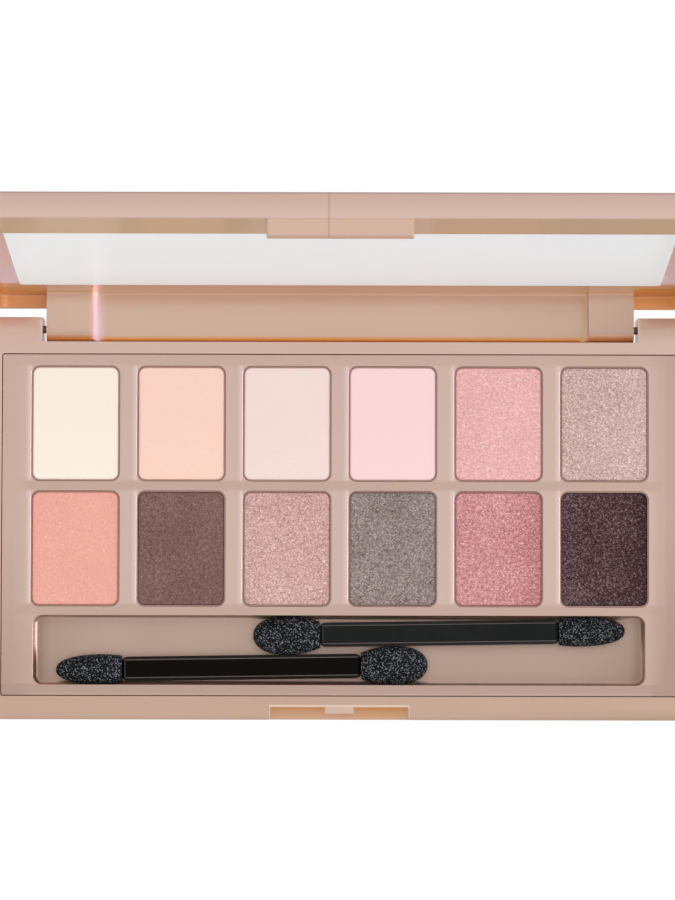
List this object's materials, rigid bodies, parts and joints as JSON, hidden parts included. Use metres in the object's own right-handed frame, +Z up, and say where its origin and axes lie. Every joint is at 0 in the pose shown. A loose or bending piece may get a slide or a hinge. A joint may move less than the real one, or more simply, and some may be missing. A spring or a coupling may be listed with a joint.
{
  "type": "eyeshadow palette",
  "caption": "Slim hinged cosmetic palette: window lid, tray of pressed eyeshadow pans, and double-ended sponge applicators lying in a front well.",
  "frame": {"origin": "centre of the underside of the case", "axes": "+X to the right along the length, +Y from the thumb notch to the hinge, +Z up"},
  "size_m": [0.142, 0.0959, 0.0805],
  "materials": {
    "case_shell": "satin metallised rose beige moulding",
    "clear_window": "clear moulded acrylic sheet",
    "tinplate": "thin pressed tinplate",
    "hinge_steel": "ground pin",
    "glue": "set hot-melt glue",
    "handle_black": "polished black moulding",
    "foam": "flocked black foam",
    "powder_01": "pressed powder, matte cream",
    "powder_02": "pressed powder, matte peach",
    "powder_03": "pressed powder, satin pale beige",
    "powder_04": "pressed powder, matte pale pink",
    "powder_05": "pressed powder, shimmer pink",
    "powder_06": "pressed powder, shimmer taupe pink",
    "powder_07": "pressed powder, satin coral",
    "powder_08": "pressed powder, matte brown",
    "powder_09": "pressed powder, shimmer dusty rose",
    "powder_10": "pressed powder, shimmer grey taupe",
    "powder_11": "pressed powder, shimmer deep rose",
    "powder_12": "pressed powder, shimmer dark plum"
  },
  "bodies": {
    "case": {"base_case": "case_shell", "pan_tray": "case_shell", "glue_dots": "glue", "pan_01": "tinplate", "pan_02": "tinplate", "pan_03": "tinplate", "pan_04": "tinplate", "pan_05": "tinplate", "pan_06": "tinplate", "pan_07": "tinplate", "pan_08": "tinplate", "pan_09": "tinplate", "pan_10": "tinplate", "pan_11": "tinplate", "pan_12": "tinplate", "powder_01": "powder_01", "powder_02": "powder_02", "powder_03": "powder_03", "powder_04": "powder_04", "powder_05": "powder_05", "powder_06": "powder_06", "powder_07": "powder_07", "powder_08": "powder_08", "powder_09": "powder_09", "powder_10": "powder_10", "powder_11": "powder_11", "powder_12": "powder_12", "hinge_pin_left": "hinge_steel", "hinge_pin_right": "hinge_steel"},
    "lid": {"lid_frame": "case_shell", "lid_window": "clear_window"},
    "front_applicator": {"front_handle": "handle_black", "front_point_sponge": "foam", "front_round_sponge": "foam"},
    "rear_applicator": {"rear_handle": "handle_black", "rear_point_sponge": "foam", "rear_round_sponge": "foam"}
  },
  "joints": [
    {"name": "lid_hinge", "type": "hinge", "parent": "case", "child": "lid", "pos_m": [0, 0.0373, 0.00455], "axis": [-1, 0, 0], "range_deg": [-97.2, 0]},
    {"name": "front_applicator_lift", "type": "slide", "parent": "case", "child": "front_applicator", "axis": [0, 0, 1], "range_m": [0, 0.08]},
    {"name": "rear_applicator_lift", "type": "slide", "parent": "case", "child": "rear_applicator", "axis": [0, 0, 1], "range_m": [0, 0.08]}
  ]
}
